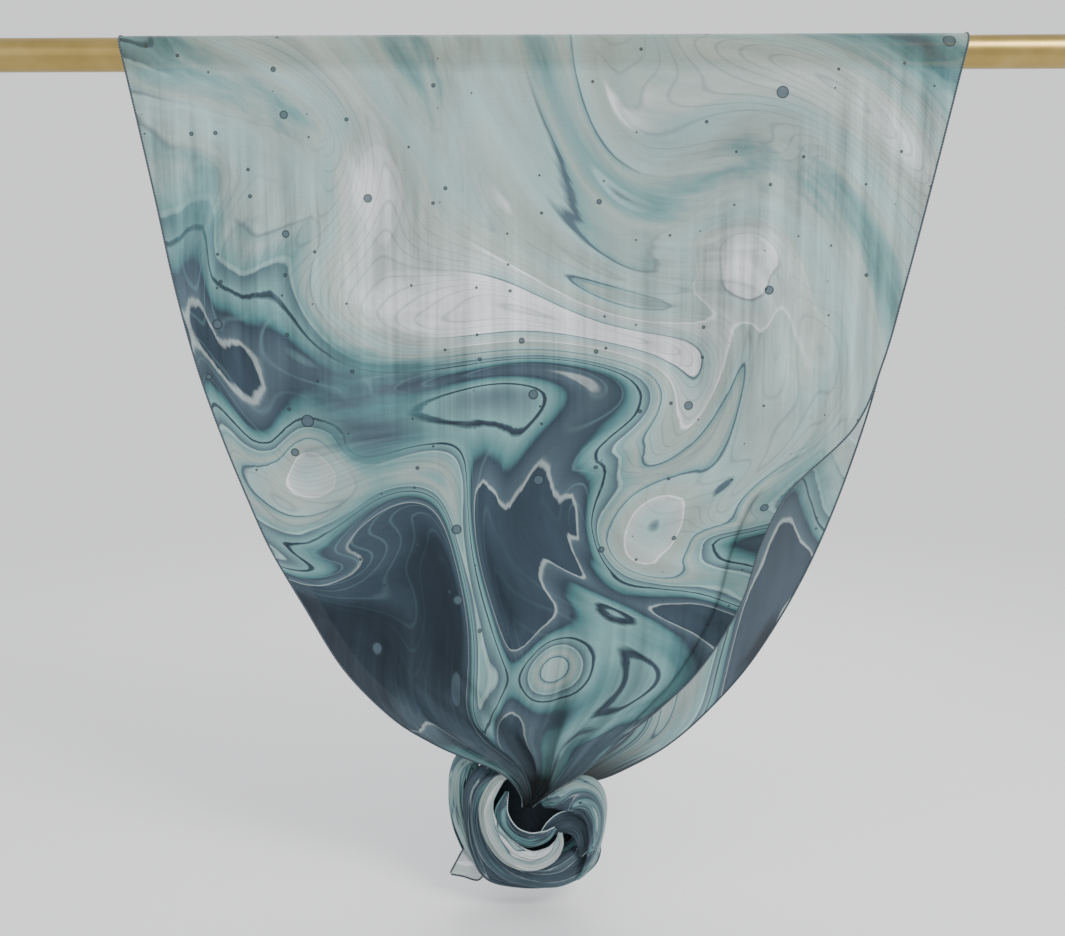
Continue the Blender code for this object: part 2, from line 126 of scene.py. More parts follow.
# Waves in the cloth: each has its count across the cloth, its count down it, its phase and its height.
FINE_WAVES = [(31, 1.3, 0.4, 0.30), (47, -2.1, 1.9, 0.24), (23, 2.2, 4.0, 0.30), (64, 0.7, 2.7, 0.16)]
BROAD_WAVES = [(3.1, 0.8, 0.9, 0.28), (5.3, -0.6, 2.2, 0.22), (8.7, 1.1, 5.1, 0.16), (2.2, 3.1, 1.4, 0.14)]

# Creases, listed one by one: from one point to another on a half (across 0 to 1, down in mm), how far the
# crease's middle bows sideways, its half width and its depth. A negative depth is a ridge.
FRONT_CREASES = [
    (0.02, 430, 0.22, 560, 6, 5.0, 0.9), (0.03, 448, 0.16, 520, -4, 4.0, -0.7),
    (0.05, 470, 0.14, 505, 3, 3.0, 0.6), (0.10, 380, 0.30, 590, 10, 7.0, 0.8),
    (0.22, 470, 0.42, 632, 8, 4.5, 0.9), (0.30, 520, 0.47, 634, 5, 3.5, -0.7),
    (0.44, 430, 0.49, 628, -6, 5.5, 0.9), (0.55, 500, 0.52, 630, 4, 3.0, 0.8),
    (0.66, 470, 0.56, 628, 6, 5.0, -0.7), (0.78, 430, 0.62, 618, -8, 6.0, 0.9),
    (0.90, 400, 0.74, 590, -6, 5.0, 0.8), (0.95, 330, 0.86, 520, 5, 6.0, -0.6),
    (0.62, 20, 0.63, 250, 4, 9.0, 0.6), (0.74, 16, 0.73, 300, -5, 11.0, 0.7),
    (0.83, 16, 0.84, 240, 3, 8.0, 0.6), (0.91, 20, 0.90, 320, -3, 9.0, 0.7),
    (0.31, 18, 0.30, 180, 3, 10.0, 0.5), (0.17, 18, 0.15, 260, -4, 12.0, 0.6),
    (0.06, 40, 0.05, 300, 3, 10.0, 0.5), (0.50, 250, 0.70, 330, 9, 10.0, 0.5),
    (0.62, 520, 0.67, 652, -3, 4.5, 5.0), (0.31, 515, 0.50, 652, 5, 5.5, 5.0),
    (0.18, 520, 0.36, 640, 4, 4.0, 2.6), (0.82, 540, 0.76, 645, -3, 4.0, 3.0),
    (0.50, 560, 0.58, 650, 2, 3.5, -2.2),
]
BACK_CREASES = [
    (0.04, 400, 0.20, 560, 6, 5.0, 0.9), (0.14, 420, 0.32, 600, -8, 6.0, 0.8),
    (0.30, 470, 0.42, 610, 5, 4.0, -0.7), (0.48, 440, 0.50, 620, 5, 5.0, 0.9),
    (0.62, 460, 0.60, 625, -5, 4.5, 0.8), (0.76, 430, 0.70, 620, -6, 5.5, 0.9),
    (0.92, 380, 0.84, 600, 7, 5.0, 0.8), (0.25, 18, 0.24, 230, 4, 11.0, 0.6),
    (0.45, 18, 0.46, 200, -4, 9.0, 0.5), (0.66, 18, 0.68, 280, 5, 12.0, 0.6),
    (0.85, 20, 0.86, 240, -4, 9.0, 0.6),
]

# Each half: its side, -1 in front and 1 behind, its rows of fine cloth to each row of levels, its tables.
Half = namedtuple("Half", "side row_steps levels folds creases")
FRONT = Half(-1, 12, FRONT_LEVELS, FRONT_FOLDS, FRONT_CREASES)
BACK = Half(1, 14, BACK_LEVELS, BACK_FOLDS, BACK_CREASES)

TURNED_FIRST, TURNED_LAST = 5, 9  # rows of the front's level table along the turned-under strip
TURNED_FROM = 0.94  # and how far across it starts
TURNED_OVERLAP = 0.015  # the strip's own sheet starts this much sooner
TURNED_STEPS, TURNED_COLUMNS = 80, 24
TURNED_INSET = 2.1  # how far the strip lies behind the front's face

# The strip shows through the front, sheerer and darkened by painted shade, and the back half has painted
# shade by its edge, at these drops in mm: coming in over the first two and going out over the last two.
STRIP_DOWN = (355, 375, 575, 590)
BACK_EDGE_DOWN = (468, 495, 518, 542)
BACK_EDGE_ACROSS = (0.965, 0.985)  # in shares of the cloth's width, as are the next two
STRIP_BLUR, STRIP_HEM_WIDTH = 0.012, 0.004

KNOT_CENTRE = (-15.0, 0.0, -665.0)
# A station on a turn's path: its place from the knot's centre, the turn's half width, how far out its
# outer and inner edges lie from the knot's middle plane, and how much further it rises between them.
Station = namedtuple("Station", "x z half edge_out edge_in rise")
# side is -1 in front and 1 behind, way says on which side of the path the outer edge lies, and pleats is
# how many lie across. shade is how pale the turn is by the outer edge, in the middle and by the inner
# edge: the print's tone together with painted light and shade. contrast is how much the print's drift
# changes that, and along and across place the print.
Turn = namedtuple("Turn", "name side way pleats shade contrast along across stations")
KNOT_TURNS = [
    Turn("turn_outer_left", -1, 1, 1, (0.36, 0.50, 0.30), 0.75, 1.58, 0.02, [
        (-43, 68, 4, 8, 11, 2), (-56, 58, 8, 2, 9, 6), (-62, 43, 9, 0.4, 8, 9), (-63, 23, 9, 0.4, 8, 9),
        (-60, 1, 9, 0.4, 8, 9), (-52, -23, 8, 0.4, 8, 8), (-47, -37, 6, 0.4, 6, 4),
        (-44, -46, 2.5, 1, 3, 1.5),
    ]),
    Turn("turn_outer_low", -1, 1, 2, (0.12, 0.22, 0.10), 0.75, 1.55, 0.12, [
        (-29, 60, 3, 14, 14, 2), (-40, 51, 6, 16, 17, 4), (-49, 35, 7.5, 17, 18, 8),
        (-50.5, 13, 7.5, 17, 18, 8), (-48, -9, 8, 16, 18, 8), (-42, -28, 9, 13, 18, 9),
        (-31, -45, 12, 7, 17, 10), (-7, -53, 12, 0.4, 16, 12), (17, -54, 11, 0.4, 14, 9),
        (32, -49, 8, 2, 11, 6), (43, -42, 4, 4, 8, 3),
    ]),
    Turn("turn_middle", -1, 1, 3, (0.16, 0.26, 0.14), 0.75, 1.52, 0.26, [
        (-27, 50, 3, 20, 20, 1), (-39, 39, 6, 25, 25, 4), (-44, 20, 6.5, 27.7, 27, 5),
        (-42, -1, 7.5, 27.7, 27, 5), (-33, -21, 9, 27.5, 27, 6), (-16, -36, 11, 25, 27, 7),
        (5, -41, 13, 22.5, 27, 7), (28, -40, 15, 19, 25, 6), (49, -31, 15, 9, 18, 5),
        (56, -16, 9, 6, 13, 4), (57, -5, 4, 6, 9, 2),
    ]),
    Turn("turn_crescent", -1, 1, 1, (0.64, 0.80, 0.90), 0.45, 1.66, 0.40, [
        (-15, 52, 1.5, 23, 23, 1), (-27, 46, 5, 27, 27, 2), (-36, 31, 6, 32.6, 32, 6),
        (-36, 15, 7, 33.4, 33, 6), (-29, -2, 9, 33.6, 33, 7), (-16, -17, 10, 34.5, 33, 7),
        (2, -24, 8.5, 35, 33, 6), (18, -19, 7, 34.5, 33, 5), (26, -9, 4.5, 34, 33, 3),
        (28, 2, 1.5, 33, 33, 1),
    ]),
    Turn("turn_lip", -1, 1, 1, (0.42, 0.34, 0.22), 0.75, 1.70, 0.52, [
        (-19, 34, 1.5, 20, 19, 1), (-24, 17, 6.5, 28, 28, 2.5), (-16, 1, 8, 28.3, 31, 2.5),
        (-1, -6, 8, 28.5, 32, 3), (14, -3, 6, 29, 32, 2.5), (24, 5, 1.5, 30, 31, 1),
    ]),
    Turn("turn_right", -1, -1, 3, (0.50, 0.36, 0.16), 0.75, 1.50, 0.60, [
        (11, 19, 5, 12, 13, 1), (20, 27, 9, 20, 25, 4), (30, 32, 11, 22, 33, 6), (41, 34, 13, 16, 36, 8),
        (53, 28, 13, 6, 34, 9), (60, 14, 11, 0.4, 32, 10), (61, -3, 9, 0.4, 30, 10),
        (59, -17, 7.5, 6, 29, 8), (55, -30, 5.5, 18, 27, 5), (49, -41, 3, 21, 24, 2),
        (43, -48, 1, 22, 22, 0.5),
    ]),
    Turn("turn_right_fold", -1, -1, 2, (0.20, 0.13, 0.08), 0.75, 1.72, 0.70, [
        (11, -3, 1.5, 26.5, 27, 1), (22, 4, 8, 27, 27, 2), (35, 9, 11, 27, 27, 3),
        (46, 2, 10, 26.5, 27, 3), (49, -12, 7, 25, 26.5, 3), (46, -25, 1.5, 23, 24, 1),
    ]),
    Turn("turn_back_outer", 1, 1, 2, (0.30, 0.44, 0.24), 0.75, 0.26, 0.10, [
        (-40, 62, 4, 6, 10, 3), (-52, 52, 9, 2, 12, 7), (-59, 34, 12, 0.9, 13, 10),
        (-58, 12, 14, 0.8, 14, 11), (-53, -14, 14, 4, 14, 11), (-41, -38, 14, 7, 15, 10),
        (-17, -50, 14, 4, 15, 11), (10, -51, 13, 0.4, 15, 11), (34, -42, 13, 0.4, 14, 11),
        (51, -23, 13, 0.4, 14, 10), (56, 2, 13, 0.4, 13, 9), (51, 24, 11, 1, 12, 7),
        (42, 40, 4, 4, 9, 3),
    ]),
    Turn("turn_back_inner", 1, 1, 2, (0.24, 0.48, 0.30), 0.75, 0.20, 0.30, [
        (36, 26, 3, 18, 18, 2), (22, 36, 8, 20, 20, 5), (2, 42, 10, 20.6, 20, 6),
        (-20, 36, 11, 20, 21, 7), (-35, 18, 12, 20, 21, 8), (-34, -4, 13, 21, 21, 8),
        (-20, -22, 14, 22, 21, 8), (2, -28, 14, 22, 21, 8), (23, -20, 13, 21, 20, 8),
        (33, -3, 10, 20, 18, 6), (29, 12, 5, 17, 16, 2),
    ]),
    Turn("turn_back_middle", 1, 1, 1, (0.16, 0.28, 0.14), 0.75, 0.14, 0.50, [
        (-14, 18, 2, 15, 14, 1), (-16, 4, 7, 16.9, 15, 3), (-6, -9, 8, 17, 15, 3),
        (10, -8, 8, 16.9, 15, 3), (17, 4, 6, 16, 15, 2.5), (14, 15, 2, 15, 15, 1),
    ]),
]
TURN_STEPS = 12
TURN_COLUMNS = 96
TURN_GATHER = 2.4  # the cloth across a turn is this much wider than the turn
TURN_GATHERED = 0.6
TURN_PRINT = (58, 4.5)  # noise cells to the metre across and along a turn
SHADE_PLACES = (0.12, 0.5, 0.88)  # where across a turn its three shades lie
PLEAT_DEPTH = 0.7
# Sharp valleys along each turn: where they start and end across it, their half width and their depth.
VALLEYS = [
    (0.16, 0.24, 0.020, 1.3), (0.30, 0.27, 0.012, 0.7), (0.36, 0.46, 0.024, 1.7),
    (0.55, 0.50, 0.014, 0.9), (0.62, 0.72, 0.022, 1.6), (0.83, 0.76, 0.016, 1.0),
]
VALLEY_SWAY = 0.035  # how far a valley wanders from side to side
# How far a turn's cloth lies inside the solid's face, before its waves and valleys, and at least.
TURN_INSET, TURN_LEAST_INSET = 0.5, 0.1
TUCK = 0.5  # how far a turn's edges curl on under it, in radians

CORE_RADII = (50.0, 10.5, 43.0)
CORE_OFFSET = (-2.0, 2.3, 3.0)
CORE_EYE = (0.0, 20.0)  # where its folds run together, from the knot's centre
CORE_RINGS = 70
CORE_SEGMENTS = 220
CORE_SHRINK = 0.955  # the core's cloth lies this far out, as a share of the radii
CORE_FOLD = 0.020

# The free corner, from its tip to the knot: its upper and lower edge from the knot's centre, and its depth.
Corner = namedtuple("Corner", "upper_x upper_z lower_x lower_z depth")
CORNER_ROWS = [
    (-71.5, -51.0, -71.0, -51.8, 3.5), (-66.0, -41.0, -60.0, -55.0, 1.5),
    (-59.0, -29.0, -47.0, -60.0, -0.4), (-50.0, -20.0, -40.0, -54.0, -1.3),
]
CORNER_STEPS = 14
CORNER_COLUMNS = 30

HEM_RADIUS = 0.85
FINE_HEM_RADIUS = 0.5
HEM_SIDES = 8
HEM_STEP = 1.1
STITCH_PITCH = 2.4
STITCH_SWELL = 0.12  # as a share of the hem's radius

# The print, in metres on the cloth: x across from its middle, and along from the top of the bar, with
# the front half below nought. Pools make the print paler or darker, and whorls turn the way it drifts.
# Each row has its x, its along, its reach, and how much paler it makes the print or how far it turns it.
# The darker pool at -0.66 along, by the front's neck, is painted shade where the cloth runs into the knot.
POOLS = [
    (-0.14, -0.46, 0.17, -0.44), (-0.31, -0.26, 0.12, -0.38), (0.06, -0.27, 0.10, -0.14),
    (0.22, -0.47, 0.12, 0.08), (-0.04, -0.66, 0.050, -0.22), (0.26, -0.06, 0.12, -0.08),
    (0.17, -0.20, 0.045, 0.34), (-0.15, -0.13, 0.035, 0.26), (-0.20, -0.37, 0.030, 0.56),
    (0.09, -0.44, 0.045, 0.50), (0.01, -0.55, 0.030, 0.40), (-0.14, 0.42, 0.17, -0.40),
    (0.20, 0.10, 0.12, -0.26), (0.02, 0.30, 0.08, -0.24), (0.20, 0.44, 0.12, 0.16),
    (-0.24, 0.20, 0.045, 0.36), (-0.12, 0.46, 0.040, 0.60),
]
WHORLS = [
    (-0.21, -0.17, 0.10, 1.5), (0.14, -0.13, 0.12, -1.1), (0.07, -0.36, 0.11, 1.7),
    (-0.17, -0.42, 0.12, -1.4), (0.22, -0.33, 0.08, 1.2), (0.04, -0.55, 0.09, -1.2),
    (0.16, 0.20, 0.13, 1.4), (-0.16, 0.24, 0.12, -1.5), (0.05, 0.46, 0.14, 1.6),
    (-0.10, 0.60, 0.10, -1.1),
]
PRINT_TONE = 0.64
PRINT_DARKENS = 0.22  # how much darker the print is far from the bar
PRINT_DARKENS_ALONG = (0.08, 0.55)
ROD_CONTRAST, PRINT_CONTRAST = 1.15, 1.75  # by the bar, and away from it
CONTRAST_ALONG = (0.04, 0.26)
WASHED_ALONG = (0.34, 0.05)  # soft washes come in between these distances from the bar
WASHED_MOST = 0.88
NECK_PRINT_WIDTH = 0.30  # how wide a stretch of the print runs into the knot
NECK_PRINT_WIDTHS = (420, 130)  # it narrows to that between these widths of the cloth
NECK_PRINT_FROM = 0.47  # from here on the print is drawn out along the gathers
NECK_PRINT_PULL = 0.80
NECK_CONTRAST_LOSS = 0.5
DRIFT_LEAN = 0.62  # how far the colours' drift leans from the cloth's length, in radians
DRIFT_SCALE = (7.5, 2.3)  # noise cells to the metre across and along the drift
# Waves that bend the drift: counts to the metre across and along, phase, and height in metres.
DRIFT_WAVES = [
    (2.3, 1.1, 0.6, 0.020),
    (-1.4, 3.1, 2.2, 0.016),
    (5.2, 2.7, 4.1, 0.006),
    (3.9, -6.3, 1.0, 0.005),
]
DRIFT_WAVE_LEAN = 0.7

# How sheer parts of the hanging cloth are, and how much painted shade darkens them.
SHEER_PALE, SHEER_BY_ROD, SHEER_STRIP = 0.06, 0.24, 0.10
SHEER_ROD_REACH = 1.35  # in radii of the bar below its axis
STRIP_PAINTED_SHADE, STRIP_HEM_PAINTED_SHADE, BACK_EDGE_PAINTED_SHADE, NECK_PAINTED_SHADE = 0.20, 0.40, 0.62, 0.96
NECK_PAINTED_SHADE_DOWN = (592, 640)
PAINTED_SHADE_MOST = 0.94

FLOOR_Z = -0.742
FLOOR_FADE = (0.5, 2.2)  # the floor fades out between these distances from its middle
FLOOR_SEGMENTS, FLOOR_RINGS = 96, 12

# The camera, at the photo's place and angle.
CAMERA_PLACE = (-0.010, -0.947, -0.2265)
CAMERA_TILT = 7.2  # degrees down
CAMERA_ROLL = 0.2
CAMERA_LENS = 1100 / 1065 * 36  # mm: 1100 pixels of focal length on the photo's 1065 pixels of width

Light = namedtuple("Light", "name place target size power colour")
LIGHTS = [
    Light("key", (1.5, -1.7, 1.5), (0.05, 0, -0.35), (0.9, 0.9), 58, (1.0, 0.99, 0.97)),
    Light("fill", (-1.6, -1.6, 0.3), (0, 0, -0.4), (1.6, 1.6), 6, (0.95, 0.98, 1.0)),
    Light("behind", (0.2, 1.8, 0.9), (0, 0, -0.3), (1.8, 1.6), 22, (1.0, 1.0, 1.0)),
]
ROOM_COLOUR = (0.90, 0.91, 0.93, 1.0)
ROOM_STRENGTH = 1.18


# ---- Shapes

def smooth_rows(rows, places):
    """The table read at places counted in rows, on a Catmull-Rom curve through its rows."""
    table = np.array(rows, dtype=float)
    padded = np.vstack([2 * table[0] - table[1], table, 2 * table[-1] - table[-2]])
    index = np.minimum(np.asarray(places).astype(int), len(table) - 2)
    u = (np.asarray(places) - index)[:, None]
    before, start, end, after = (padded[index + k] for k in range(4))
    slope = (end - before) * u
    bend = (2 * before - 5 * start + 4 * end - after) * u**2
    twist = (3 * start - before - 3 * end + after) * u**3
    return start + (slope + bend + twist) / 2


def smooth_step(low, high, value):
    """0 at low, 1 at high, smooth between. High may be the lower of the two."""
    share = np.clip((value - low) / (high - low), 0, 1)
    return share * share * (3 - 2 * share)


def between(limits, value):
    """Coming in between the first two limits, and going out between the last two."""
    first, whole, last, none = limits
    return smooth_step(first, whole, value) * smooth_step(none, last, value)


def fold_height(folds, across):
    """The folds' height at each place across, swinging smoothly from one to the next."""
    places, heights = zip(*folds)
    position = np.interp(across, places, range(len(folds)))
    before = np.minimum(position.astype(int), len(folds) - 2)
    swing = (1 - np.cos(np.pi * (position - before))) / 2
    start, end = np.take(heights, before), np.take(heights, before + 1)
    return start + (end - start) * swing


def grid_normals(grid):
    down, along = np.gradient(grid, axis=(0, 1))
    normal = np.cross(along, down)
    length = np.linalg.norm(normal, axis=2)[:, :, None]
    return normal / np.maximum(length, 1e-9)


def facing(grid, direction):
    """The grid's normals, on the side that looks in a direction."""
    normal = grid_normals(grid)
    return normal * np.sign((normal * np.array(direction)).sum())


def path_lengths(grid):
    """How far each row of a grid lies along it from the first row, column by column."""
    steps = np.linalg.norm(np.diff(grid, axis=0), axis=2)
    return np.vstack([np.zeros(grid.shape[1]), np.cumsum(steps, axis=0)])


def ripples(across, down, waves):
    """Uneven waves: each has its count across the cloth, its count down it, its phase and its height."""
    total = np.zeros(np.broadcast(across, down).shape)
    for count, slant, phase, height in waves:
        total = total + height * np.sin(TAU * (count * across + slant * down) + phase)
    return total


def crease_depth(creases, across, down, width):
    """How deep the creases are at each point, with across from 0 to 1 and down in mm."""
    x = across * width
    total = np.zeros(x.shape)
    for from_across, ay, to_across, by, bow, half_width, depth in creases:
        ax, bx = from_across * width, to_across * width
        length = np.hypot(bx - ax, by - ay)
        along = ((x - ax) * (bx - ax) + (down - ay) * (by - ay)) / length**2
        aside = ((x - ax) * (by - ay) - (down - ay) * (bx - ax)) / length
        bowed = aside - bow * 4 * along * (1 - along)
        taper = smooth_step(-0.02, 0.25, along) * smooth_step(1.02, 0.75, along)
        total = total + depth * taper * np.exp(-((bowed / half_width) ** 2))
    return total


def half_surface(half, places, across):
    """A half's smooth points at places in its level table, and how wide the cloth is there."""
    rows = Level(*(column[:, None] for column in smooth_rows(half.levels, places).T))
    width = rows.right_x - rows.left_x
    x = rows.left_x + width * across
    z = rows.left_z + (rows.right_z - rows.left_z) * across - rows.sag * 4 * across * (1 - across)
    turned_in = rows.curl * np.abs(2 * across - 1) ** CURL_POWER
    out = rows.depth + rows.fold * fold_height(half.folds, across) - turned_in
    return np.stack([x, half.side * out, z], axis=2), width


def half_sheet(half):
    """A hanging half's fine points, how gathered it is at each, and the painted shade of its deep creases.
    """
    last = len(half.levels) - 1
    places = np.linspace(0, last, last * half.row_steps + 1)
    across = np.linspace(0, 1, HALF_COLUMNS + 1)[None, :]
    grid, width = half_surface(half, places, across)
    down = -grid[:, :, 2]
    across = across + 0 * down
    gather = 1 - smooth_step(*GATHER_WIDTHS, width) + 0 * across
    fine = ripples(across, down / RIPPLE_DROP, FINE_WAVES) * gather**2
    broad = ripples(across, down / RIPPLE_DROP, BROAD_WAVES) * (1 - gather)
    creased = crease_depth(half.creases, across, down, width)
    away_from_rod = smooth_step(0, BY_ROD, down)
    room = WALL_ROOM + NECK_ROOM * smooth_step(*NECK_ROOM_DOWN, down)
    waved = (FINE_SHARE * fine + BROAD_SHARE * broad) * away_from_rod
    depth = np.clip(SHEET_INSET + waved + creased * CREASE_SHARE, 0, room)
    depth = ROD_INSET + (depth - ROD_INSET) * away_from_rod
    inward = facing(grid, (0, -half.side, 0))
    # Painted shade: the colour darkens where creases run deep.
    dim = VALLEY_PAINTED_SHADE * np.clip(depth - WALL_ROOM, 0, VALLEY_PAINTED_SHADE_DEPTH)
    return grid + inward * depth[:, :, None], gather, dim


def turn_inset(name, share, down):
    """How far small waves and sharp valleys set a turn's cloth in. Each turn's name gives it its own."""
    phase = sum(map(ord, name)) % 7
    inset = TURN_INSET + ripples(share, down, [(5.5, 0.9, phase, 0.30), (9.5, -1.3, phase + 2, 0.16)])
    for number, (start, end, width, depth) in enumerate(VALLEYS):
        sway = VALLEY_SWAY * np.sin(TAU * 0.8 * down + phase + 2 * number)
        middle = start + (end - start) * down + sway
        strength = 0.6 + 0.4 * np.sin(TAU * 1.1 * down + 3 * phase + number)
        inset = inset + depth * strength * np.exp(-np.abs(share - middle) / width)
    inset = inset + ripples(0 * share, down, [(0, 2.3, phase, 0.3), (0, 4.9, 1.5 * phase, 0.18)])
    return np.clip(inset, TURN_LEAST_INSET, TURN_ROOM)


def turn_sheet(turn):
    """A turn's fine points, from its outer to its inner edge and a little past both, and its painted shade.
    """
    last = len(turn.stations) - 1
    rows = smooth_rows(turn.stations, np.linspace(0, last, last * TURN_STEPS + 1))
    heading = np.gradient(rows[:, :2], axis=0)
    heading /= np.linalg.norm(heading, axis=1)[:, None]
    aside = turn.way * np.stack([heading[:, 1], -heading[:, 0]], axis=1)
    station = Station(*(column[:, None] for column in rows.T))
    angles = np.linspace(-TUCK, math.pi + TUCK, TURN_COLUMNS + 1)[None, :]
    share = (1 - np.cos(np.clip(angles, 0, math.pi))) / 2
    down = np.linspace(0, 1, len(rows))[:, None]
    ends = np.sin(math.pi * down)
    humped = np.sin(angles)
    pleated = humped * np.cos(TAU * (turn.pleats + 0.5) * share)
    inset = turn_inset(turn.name, share, down) * np.clip(humped * 2, 0, 1) * np.sqrt(ends)
    out = station.edge_out + (station.edge_in - station.edge_out) * share
    out = out + station.rise * humped - PLEAT_DEPTH * ends * pleated - inset
    x = station.x + station.half * np.cos(angles) * aside[:, :1]
    z = station.z + station.half * np.cos(angles) * aside[:, 1:]
    grid = np.stack([x, turn.side * out, z], axis=2) + np.array(KNOT_CENTRE)
    # Painted shade: the colour darkens in deep valleys.
    return grid, VALLEY_PAINTED_SHADE * np.clip(1.6 * inset - 0.8, 0, VALLEY_PAINTED_SHADE_DEPTH)


def print_tone(x, along):
    """How pale the print is before its own drift, from 0 to 1."""
    tone = PRINT_TONE - PRINT_DARKENS * smooth_step(*PRINT_DARKENS_ALONG, np.abs(along))
    for pool_x, pool_along, reach, paler in POOLS:
        tone = tone + paler * np.exp(-((x - pool_x) ** 2 + (along - pool_along) ** 2) / reach**2)
    return tone


def drifted(x, along):
    """Where the drifting colours of a place on the cloth come from."""
    for whorl_x, whorl_along, reach, turn in WHORLS:
        dx, dy = x - whorl_x, along - whorl_along
        angle = turn * np.exp(-(dx**2 + dy**2) / reach**2)
        x = whorl_x + dx * np.cos(angle) - dy * np.sin(angle)
        along = whorl_along + dx * np.sin(angle) + dy * np.cos(angle)
    for count_x, count_along, phase, height in DRIFT_WAVES:
        wave = height * np.sin(TAU * (count_x * x + count_along * along) + phase)
        x, along = x + wave, along - DRIFT_WAVE_LEAN * wave
    lean_x = math.cos(DRIFT_LEAN) * x + math.sin(DRIFT_LEAN) * along
    lean_along = math.cos(DRIFT_LEAN) * along - math.sin(DRIFT_LEAN) * x
    return np.stack([lean_x * DRIFT_SCALE[0], lean_along * DRIFT_SCALE[1]], axis=2)


# ---- Pieces

def add_sheet(name, grid, cloth_uv, material, flow_uv=None, closed=False, **values):
    """A mesh through a grid of points in mm, with the cloth's own coordinates and its shading values."""
    rows, columns = grid.shape[:2]
    index = np.arange(rows * columns).reshape(rows, columns)
    corners = [index[:-1, :-1], index[:-1, 1:], index[1:, 1:], index[1:, :-1]]
    faces = np.stack(corners, axis=2).reshape(-1, 4)
    if closed:
        seam = [index[:-1, -1], index[:-1, 0], index[1:, 0], index[1:, -1]]
        faces = np.vstack([faces, np.stack(seam, axis=1)])
    mesh = bpy.data.meshes.new(name)
    mesh.from_pydata((grid.reshape(-1, 3) * MM).tolist(), [], faces.tolist())
    for label, places in (("cloth", cloth_uv), ("flow", flow_uv)):
        if places is not None:
            layer = mesh.uv_layers.new(name=label)
            layer.data.foreach_set("uv", places.reshape(-1, 2)[faces.ravel()].ravel().astype(np.float32))
    for label, value in values.items():
        layer = mesh.attributes.new(label, "FLOAT", "POINT")
        layer.data.foreach_set("value", np.broadcast_to(value, (rows, columns)).ravel().astype(np.float32))
    mesh.shade_smooth()
    mesh.materials.append(material)
    made = bpy.data.objects.new(name, mesh)
    bpy.context.scene.collection.objects.link(made)
    return made


def add_hem(name, path, radius, material):
    """A rolled hem along a path of points in mm, with a swelling at each stitch."""
    steps = np.linalg.norm(np.diff(path, axis=0), axis=1)
    reach = np.concatenate([[0], np.cumsum(steps)])
    places = np.linspace(0, reach[-1], max(3, int(reach[-1] / HEM_STEP) + 1))
    points = np.stack([np.interp(places, reach, path[:, k]) for k in range(3)], axis=1)
    heading = np.gradient(points, axis=0)
    heading /= np.linalg.norm(heading, axis=1)[:, None]
    aside = np.cross(heading, (0.0, 1.0, 0.0))
    aside /= np.maximum(np.linalg.norm(aside, axis=1)[:, None], 1e-6)
    up = np.cross(heading, aside)
    angles = np.arange(HEM_SIDES) * TAU / HEM_SIDES
    swell = radius * (1 + STITCH_SWELL * np.cos(TAU * places / STITCH_PITCH))
    ends = np.minimum(places, places[-1] - places)
    swell = swell * np.sqrt(np.clip(ends / radius, 0.05, 1))
    ring = np.cos(angles)[None, :, None] * aside[:, None] + np.sin(angles)[None, :, None] * up[:, None]
    grid = points[:, None] + ring * swell[:, None, None]
    along = np.broadcast_to(places[:, None], grid.shape[:2]) * MM
    around = np.broadcast_to(angles[None, :] / TAU, grid.shape[:2]) * radius * MM
    return add_sheet(name, grid, np.stack([around, along], axis=2), material, closed=True)


# ---- Materials

class Shader:
    """Short ways to add nodes to one material."""

    def __init__(self, name):
        self.material = bpy.data.materials.new(name)
        self.material.use_nodes = True
        self.tree = self.material.node_tree
        self.tree.nodes.clear()
        self.output = self.tree.nodes.new("ShaderNodeOutputMaterial")

    def put(self, socket, value):
        if isinstance(value, bpy.types.NodeSocket):
            self.tree.links.new(value, socket)
        else:
            socket.default_value = value

    def add(self, kind, inputs=None, **settings):
        node = self.tree.nodes.new("ShaderNode" + kind)
        for name, value in settings.items():
            setattr(node, name, value)
        for name, value in (inputs or {}).items():
            self.put(node.inputs[name], value)
        return node

    def math(self, operation, first, second=0.0, third=0.0, clamp=False):
        inputs = {0: first, 1: second, 2: third}
        return self.add("Math", inputs, operation=operation, use_clamp=clamp).outputs[0]

    def times(self, first, second):
        return self.math("MULTIPLY", first, second)

    def place(self, vector, scale):
        return self.add("Mapping", {"Vector": vector, "Scale": scale}).outputs[0]

    def noise(self, vector, scale, detail, roughness=0.5, dimensions="2D"):
        inputs = {"Vector": vector, "Scale": scale, "Detail": detail, "Roughness": roughness}
        return self.add("TexNoise", inputs, noise_dimensions=dimensions).outputs["Fac"]

    def value(self, name):
        """A shading value that the mesh carries."""
        return self.add("Attribute", attribute_name=name).outputs["Fac"]

    def ramp(self, value, stops):
        """A colour ramp from stops of (place, colour)."""
        node = self.add("ValToRGB", {0: value})
        elements = node.color_ramp.elements
        while len(elements) < len(stops):
            elements.new(1.0)
        for element, (place, colour) in zip(elements, stops):
            element.position = place
            element.color = (*colour, 1.0)
        return node.outputs[0]

    def span(self, value, low, high):
        """0 at low, 1 at high, smooth between."""
        inputs = {0: value, 1: low, 2: high, 3: 0.0, 4: 1.0}
        return self.add("MapRange", inputs, interpolation_type="SMOOTHSTEP").outputs[0]

    def mix(self, share, first, second, blend="MIX"):
        node = self.add("Mix", data_type="RGBA", blend_type=blend)
        self.put(node.inputs[0], share)
        self.put(node.inputs[6], first)
        self.put(node.inputs[7], second)
        return node.outputs[2]

    def shade(self, colour, light):
        """A colour made lighter or darker by a number."""
        grey = self.add("CombineColor", {0: light, 1: light, 2: light}).outputs[0]
        return self.mix(1.0, colour, grey, "MULTIPLY")

    def finish(self, shader):
        self.put(self.output.inputs["Surface"], shader)
        return self.material


